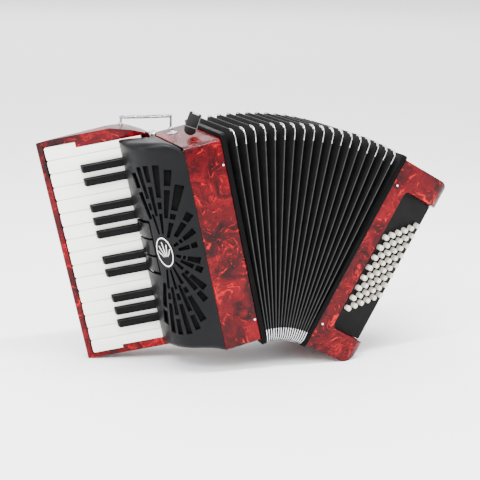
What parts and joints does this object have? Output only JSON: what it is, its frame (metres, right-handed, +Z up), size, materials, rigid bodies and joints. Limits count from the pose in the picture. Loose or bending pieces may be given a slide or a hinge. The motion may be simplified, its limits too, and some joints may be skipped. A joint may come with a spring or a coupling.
{
  "type": "piano accordion",
  "caption": "Piano accordion with piano keys and register tabs on one side, rows of chord buttons on the other and a fanned bellows between them.",
  "frame": {"origin": "middle of the instrument in width and depth, at the level of the keyboard corner and bass corner it stands on", "axes": "+Z up, +X from the keyboard towards the chord buttons, +Y towards the player, so the front faces -Y"},
  "size_m": [0.5754, 0.166, 0.361],
  "materials": {
    "red": "red pearl celluloid, gloss",
    "black": "satin black",
    "ivory": "white gloss",
    "ebony": "black satin",
    "cloth": "black bellows cloth over card and wood",
    "chrome": "polished",
    "steel": "plain",
    "wood": "plain",
    "leather": "black"
  },
  "bodies": {
    "treble": {"treble_casing": "red", "pallet_board": "wood", "keyboard_bed": "red", "treble_grille": "black", "treble_reed_block": "wood", "key_axle": "steel", "register_rod": "steel", "strap_bracket": "chrome", "treble_bellows_frame": "cloth"},
    "white_key_01": {"white_key_01": "ivory"},
    "white_key_02": {"white_key_02": "ivory"},
    "white_key_03": {"white_key_03": "ivory"},
    "white_key_04": {"white_key_04": "ivory"},
    "white_key_05": {"white_key_05": "ivory"},
    "white_key_06": {"white_key_06": "ivory"},
    "white_key_07": {"white_key_07": "ivory"},
    "white_key_08": {"white_key_08": "ivory"},
    "white_key_09": {"white_key_09": "ivory"},
    "white_key_10": {"white_key_10": "ivory"},
    "white_key_11": {"white_key_11": "ivory"},
    "white_key_12": {"white_key_12": "ivory"},
    "white_key_13": {"white_key_13": "ivory"},
    "white_key_14": {"white_key_14": "ivory"},
    "white_key_15": {"white_key_15": "ivory"},
    "white_key_16": {"white_key_16": "ivory"},
    "black_key_01": {"black_key_01": "ebony"},
    "black_key_02": {"black_key_02": "ebony"},
    "black_key_03": {"black_key_03": "ebony"},
    "black_key_04": {"black_key_04": "ebony"},
    "black_key_05": {"black_key_05": "ebony"},
    "black_key_06": {"black_key_06": "ebony"},
    "black_key_07": {"black_key_07": "ebony"},
    "black_key_08": {"black_key_08": "ebony"},
    "black_key_09": {"black_key_09": "ebony"},
    "black_key_10": {"black_key_10": "ebony"},
    "register_tab_1": {"register_tab_1": "black"},
    "register_tab_2": {"register_tab_2": "black"},
    "register_tab_3": {"register_tab_3": "black"},
    "bellows_strap": {"bellows_strap": "leather"},
    "bellows_ring_1": {"bellows_ring_1": "cloth"},
    "bellows_ring_2": {"bellows_ring_2": "cloth"},
    "bellows_ring_3": {"bellows_ring_3": "cloth"},
    "bellows_ring_4": {"bellows_ring_4": "cloth"},
    "bellows_ring_5": {"bellows_ring_5": "cloth"},
    "bellows_ring_6": {"bellows_ring_6": "cloth"},
    "bellows_ring_7": {"bellows_ring_7": "cloth"},
    "bellows_ring_8": {"bellows_ring_8": "cloth"},
    "bass": {"bass_bellows_frame": "cloth", "bass_casing": "red", "button_board": "black", "bass_reed_block": "wood", "bass_hand_strap": "leather"},
    "bass_button_row_1": {"bass_button_row_1": "ivory"},
    "bass_button_row_2": {"bass_button_row_2": "ivory"},
    "bass_button_row_3": {"bass_button_row_3": "ivory"},
    "bass_button_row_4": {"bass_button_row_4": "ivory"},
    "bass_button_row_5": {"bass_button_row_5": "ivory"},
    "bass_button_row_6": {"bass_button_row_6": "ivory"},
    "air_button": {"air_button": "ivory"},
    "strap_wheel": {"strap_wheel": "steel"}
  },
  "joints": [
    {"name": "white_key_01_press", "type": "hinge", "parent": "treble", "child": "white_key_01", "pos_m": [-0.12478, -0.0005, 0.18529], "axis": [0.2173, 0, -0.9761], "range_deg": [0, 2.2], "stiffness_Nm_per_rad": 1, "springref_deg": -5.73},
    {"name": "white_key_02_press", "type": "hinge", "parent": "treble", "child": "white_key_02", "pos_m": [-0.12478, -0.0005, 0.18529], "axis": [0.2173, 0, -0.9761], "range_deg": [0, 2.2], "stiffness_Nm_per_rad": 1, "springref_deg": -5.73},
    {"name": "white_key_03_press", "type": "hinge", "parent": "treble", "child": "white_key_03", "pos_m": [-0.12478, -0.0005, 0.18529], "axis": [0.2173, 0, -0.9761], "range_deg": [0, 2.2], "stiffness_Nm_per_rad": 1, "springref_deg": -5.73},
    {"name": "white_key_04_press", "type": "hinge", "parent": "treble", "child": "white_key_04", "pos_m": [-0.12478, -0.0005, 0.18529], "axis": [0.2173, 0, -0.9761], "range_deg": [0, 2.2], "stiffness_Nm_per_rad": 1, "springref_deg": -5.73},
    {"name": "white_key_05_press", "type": "hinge", "parent": "treble", "child": "white_key_05", "pos_m": [-0.12478, -0.0005, 0.18529], "axis": [0.2173, 0, -0.9761], "range_deg": [0, 2.2], "stiffness_Nm_per_rad": 1, "springref_deg": -5.73},
    {"name": "white_key_06_press", "type": "hinge", "parent": "treble", "child": "white_key_06", "pos_m": [-0.12478, -0.0005, 0.18529], "axis": [0.2173, 0, -0.9761], "range_deg": [0, 2.2], "stiffness_Nm_per_rad": 1, "springref_deg": -5.73},
    {"name": "white_key_07_press", "type": "hinge", "parent": "treble", "child": "white_key_07", "pos_m": [-0.12478, -0.0005, 0.18529], "axis": [0.2173, 0, -0.9761], "range_deg": [0, 2.2], "stiffness_Nm_per_rad": 1, "springref_deg": -5.73},
    {"name": "white_key_08_press", "type": "hinge", "parent": "treble", "child": "white_key_08", "pos_m": [-0.12478, -0.0005, 0.18529], "axis": [0.2173, 0, -0.9761], "range_deg": [0, 2.2], "stiffness_Nm_per_rad": 1, "springref_deg": -5.73},
    {"name": "white_key_09_press", "type": "hinge", "parent": "treble", "child": "white_key_09", "pos_m": [-0.12478, -0.0005, 0.18529], "axis": [0.2173, 0, -0.9761], "range_deg": [0, 2.2], "stiffness_Nm_per_rad": 1, "springref_deg": -5.73},
    {"name": "white_key_10_press", "type": "hinge", "parent": "treble", "child": "white_key_10", "pos_m": [-0.12478, -0.0005, 0.18529], "axis": [0.2173, 0, -0.9761], "range_deg": [0, 2.2], "stiffness_Nm_per_rad": 1, "springref_deg": -5.73},
    {"name": "white_key_11_press", "type": "hinge", "parent": "treble", "child": "white_key_11", "pos_m": [-0.12478, -0.0005, 0.18529], "axis": [0.2173, 0, -0.9761], "range_deg": [0, 2.2], "stiffness_Nm_per_rad": 1, "springref_deg": -5.73},
    {"name": "white_key_12_press", "type": "hinge", "parent": "treble", "child": "white_key_12", "pos_m": [-0.12478, -0.0005, 0.18529], "axis": [0.2173, 0, -0.9761], "range_deg": [0, 2.2], "stiffness_Nm_per_rad": 1, "springref_deg": -5.73},
    {"name": "white_key_13_press", "type": "hinge", "parent": "treble", "child": "white_key_13", "pos_m": [-0.12478, -0.0005, 0.18529], "axis": [0.2173, 0, -0.9761], "range_deg": [0, 2.2], "stiffness_Nm_per_rad": 1, "springref_deg": -5.73},
    {"name": "white_key_14_press", "type": "hinge", "parent": "treble", "child": "white_key_14", "pos_m": [-0.12478, -0.0005, 0.18529], "axis": [0.2173, 0, -0.9761], "range_deg": [0, 2.2], "stiffness_Nm_per_rad": 1, "springref_deg": -5.73},
    {"name": "white_key_15_press", "type": "hinge", "parent": "treble", "child": "white_key_15", "pos_m": [-0.12478, -0.0005, 0.18529], "axis": [0.2173, 0, -0.9761], "range_deg": [0, 2.2], "stiffness_Nm_per_rad": 1, "springref_deg": -5.73},
    {"name": "white_key_16_press", "type": "hinge", "parent": "treble", "child": "white_key_16", "pos_m": [-0.12478, -0.0005, 0.18529], "axis": [0.2173, 0, -0.9761], "range_deg": [0, 2.2], "stiffness_Nm_per_rad": 1, "springref_deg": -5.73},
    {"name": "black_key_01_press", "type": "hinge", "parent": "treble", "child": "black_key_01", "pos_m": [-0.12478, -0.0005, 0.18529], "axis": [0.2173, 0, -0.9761], "range_deg": [0, 2.2], "stiffness_Nm_per_rad": 1, "springref_deg": -5.73},
    {"name": "black_key_02_press", "type": "hinge", "parent": "treble", "child": "black_key_02", "pos_m": [-0.12478, -0.0005, 0.18529], "axis": [0.2173, 0, -0.9761], "range_deg": [0, 2.2], "stiffness_Nm_per_rad": 1, "springref_deg": -5.73},
    {"name": "black_key_03_press", "type": "hinge", "parent": "treble", "child": "black_key_03", "pos_m": [-0.12478, -0.0005, 0.18529], "axis": [0.2173, 0, -0.9761], "range_deg": [0, 2.2], "stiffness_Nm_per_rad": 1, "springref_deg": -5.73},
    {"name": "black_key_04_press", "type": "hinge", "parent": "treble", "child": "black_key_04", "pos_m": [-0.12478, -0.0005, 0.18529], "axis": [0.2173, 0, -0.9761], "range_deg": [0, 2.2], "stiffness_Nm_per_rad": 1, "springref_deg": -5.73},
    {"name": "black_key_05_press", "type": "hinge", "parent": "treble", "child": "black_key_05", "pos_m": [-0.12478, -0.0005, 0.18529], "axis": [0.2173, 0, -0.9761], "range_deg": [0, 2.2], "stiffness_Nm_per_rad": 1, "springref_deg": -5.73},
    {"name": "black_key_06_press", "type": "hinge", "parent": "treble", "child": "black_key_06", "pos_m": [-0.12478, -0.0005, 0.18529], "axis": [0.2173, 0, -0.9761], "range_deg": [0, 2.2], "stiffness_Nm_per_rad": 1, "springref_deg": -5.73},
    {"name": "black_key_07_press", "type": "hinge", "parent": "treble", "child": "black_key_07", "pos_m": [-0.12478, -0.0005, 0.18529], "axis": [0.2173, 0, -0.9761], "range_deg": [0, 2.2], "stiffness_Nm_per_rad": 1, "springref_deg": -5.73},
    {"name": "black_key_08_press", "type": "hinge", "parent": "treble", "child": "black_key_08", "pos_m": [-0.12478, -0.0005, 0.18529], "axis": [0.2173, 0, -0.9761], "range_deg": [0, 2.2], "stiffness_Nm_per_rad": 1, "springref_deg": -5.73},
    {"name": "black_key_09_press", "type": "hinge", "parent": "treble", "child": "black_key_09", "pos_m": [-0.12478, -0.0005, 0.18529], "axis": [0.2173, 0, -0.9761], "range_deg": [0, 2.2], "stiffness_Nm_per_rad": 1, "springref_deg": -5.73},
    {"name": "black_key_10_press", "type": "hinge", "parent": "treble", "child": "black_key_10", "pos_m": [-0.12478, -0.0005, 0.18529], "axis": [0.2173, 0, -0.9761], "range_deg": [0, 2.2], "stiffness_Nm_per_rad": 1, "springref_deg": -5.73},
    {"name": "register_tab_1_rock", "type": "hinge", "parent": "treble", "child": "register_tab_1", "pos_m": [-0.13889, -0.0247, 0.1551], "axis": [-0.2173, 0, 0.9761], "range_deg": [0, 8]},
    {"name": "register_tab_2_rock", "type": "hinge", "parent": "treble", "child": "register_tab_2", "pos_m": [-0.14421, -0.0247, 0.17901], "axis": [-0.2173, 0, 0.9761], "range_deg": [0, 8]},
    {"name": "register_tab_3_rock", "type": "hinge", "parent": "treble", "child": "register_tab_3", "pos_m": [-0.14953, -0.0247, 0.20293], "axis": [-0.2173, 0, 0.9761], "range_deg": [0, 8]},
    {"name": "bellows_strap_flap", "type": "hinge", "parent": "treble", "child": "bellows_strap", "pos_m": [-0.08233, -0.019, 0.32812], "axis": [0.9761, 0, 0.2173], "range_deg": [-75, 75]},
    {"name": "bellows_fan_1", "type": "hinge", "parent": "treble", "child": "bellows_ring_1", "pos_m": [0.01262, 0, 0.03817], "axis": [0, -1, 0], "range_deg": [-2, 4.4]},
    {"name": "bellows_fan_2", "type": "hinge", "parent": "bellows_ring_1", "child": "bellows_ring_2", "pos_m": [0.01845, 0, 0.039], "axis": [0, -1, 0], "range_deg": [-2, 4.4]},
    {"name": "bellows_fan_3", "type": "hinge", "parent": "bellows_ring_2", "child": "bellows_ring_3", "pos_m": [0.02434, 0, 0.03939], "axis": [0, -1, 0], "range_deg": [-2, 4.4]},
    {"name": "bellows_fan_4", "type": "hinge", "parent": "bellows_ring_3", "child": "bellows_ring_4", "pos_m": [0.03024, 0, 0.03932], "axis": [0, -1, 0], "range_deg": [-2, 4.4]},
    {"name": "bellows_fan_5", "type": "hinge", "parent": "bellows_ring_4", "child": "bellows_ring_5", "pos_m": [0.03612, 0, 0.0388], "axis": [0, -1, 0], "range_deg": [-2, 4.4]},
    {"name": "bellows_fan_6", "type": "hinge", "parent": "bellows_ring_5", "child": "bellows_ring_6", "pos_m": [0.04194, 0, 0.03784], "axis": [0, -1, 0], "range_deg": [-2, 4.4]},
    {"name": "bellows_fan_7", "type": "hinge", "parent": "bellows_ring_6", "child": "bellows_ring_7", "pos_m": [0.04766, 0, 0.03642], "axis": [0, -1, 0], "range_deg": [-2, 4.4]},
    {"name": "bellows_fan_8", "type": "hinge", "parent": "bellows_ring_7", "child": "bellows_ring_8", "pos_m": [0.05326, 0, 0.03458], "axis": [0, -1, 0], "range_deg": [-2, 4.4]},
    {"name": "bellows_fan_9", "type": "hinge", "parent": "bellows_ring_8", "child": "bass", "pos_m": [0.05871, 0, 0.03231], "axis": [0, -1, 0], "range_deg": [-2, 4.4]},
    {"name": "bass_button_row_1_press", "type": "slide", "parent": "bass", "child": "bass_button_row_1", "axis": [-0.3687, 0.9063, 0.2065], "range_m": [0, 0.0035], "stiffness_N_per_m": 200, "springref_m": -0.005},
    {"name": "bass_button_row_2_press", "type": "slide", "parent": "bass", "child": "bass_button_row_2", "axis": [-0.3687, 0.9063, 0.2065], "range_m": [0, 0.0035], "stiffness_N_per_m": 200, "springref_m": -0.005},
    {"name": "bass_button_row_3_press", "type": "slide", "parent": "bass", "child": "bass_button_row_3", "axis": [-0.3687, 0.9063, 0.2065], "range_m": [0, 0.0035], "stiffness_N_per_m": 200, "springref_m": -0.005},
    {"name": "bass_button_row_4_press", "type": "slide", "parent": "bass", "child": "bass_button_row_4", "axis": [-0.3687, 0.9063, 0.2065], "range_m": [0, 0.0035], "stiffness_N_per_m": 200, "springref_m": -0.005},
    {"name": "bass_button_row_5_press", "type": "slide", "parent": "bass", "child": "bass_button_row_5", "axis": [-0.3687, 0.9063, 0.2065], "range_m": [0, 0.0035], "stiffness_N_per_m": 200, "springref_m": -0.005},
    {"name": "bass_button_row_6_press", "type": "slide", "parent": "bass", "child": "bass_button_row_6", "axis": [-0.3687, 0.9063, 0.2065], "range_m": [0, 0.0035], "stiffness_N_per_m": 200, "springref_m": -0.005},
    {"name": "air_button_press", "type": "slide", "parent": "bass", "child": "air_button", "axis": [-0.8725, 0, 0.4886], "range_m": [0, 0.003], "stiffness_N_per_m": 100, "springref_m": -0.006},
    {"name": "strap_wheel_turn", "type": "hinge", "parent": "bass", "child": "strap_wheel", "pos_m": [0.25948, 0.037, 0.25652], "axis": [0, 1, 0], "continuous": true}
  ],
  "couplings": [
    {"joint": "bellows_fan_2", "follows": "bellows_fan_1", "ratio": 1},
    {"joint": "bellows_fan_3", "follows": "bellows_fan_1", "ratio": 1},
    {"joint": "bellows_fan_4", "follows": "bellows_fan_1", "ratio": 1},
    {"joint": "bellows_fan_5", "follows": "bellows_fan_1", "ratio": 1},
    {"joint": "bellows_fan_6", "follows": "bellows_fan_1", "ratio": 1},
    {"joint": "bellows_fan_7", "follows": "bellows_fan_1", "ratio": 1},
    {"joint": "bellows_fan_8", "follows": "bellows_fan_1", "ratio": 1},
    {"joint": "bellows_fan_9", "follows": "bellows_fan_1", "ratio": 1}
  ]
}
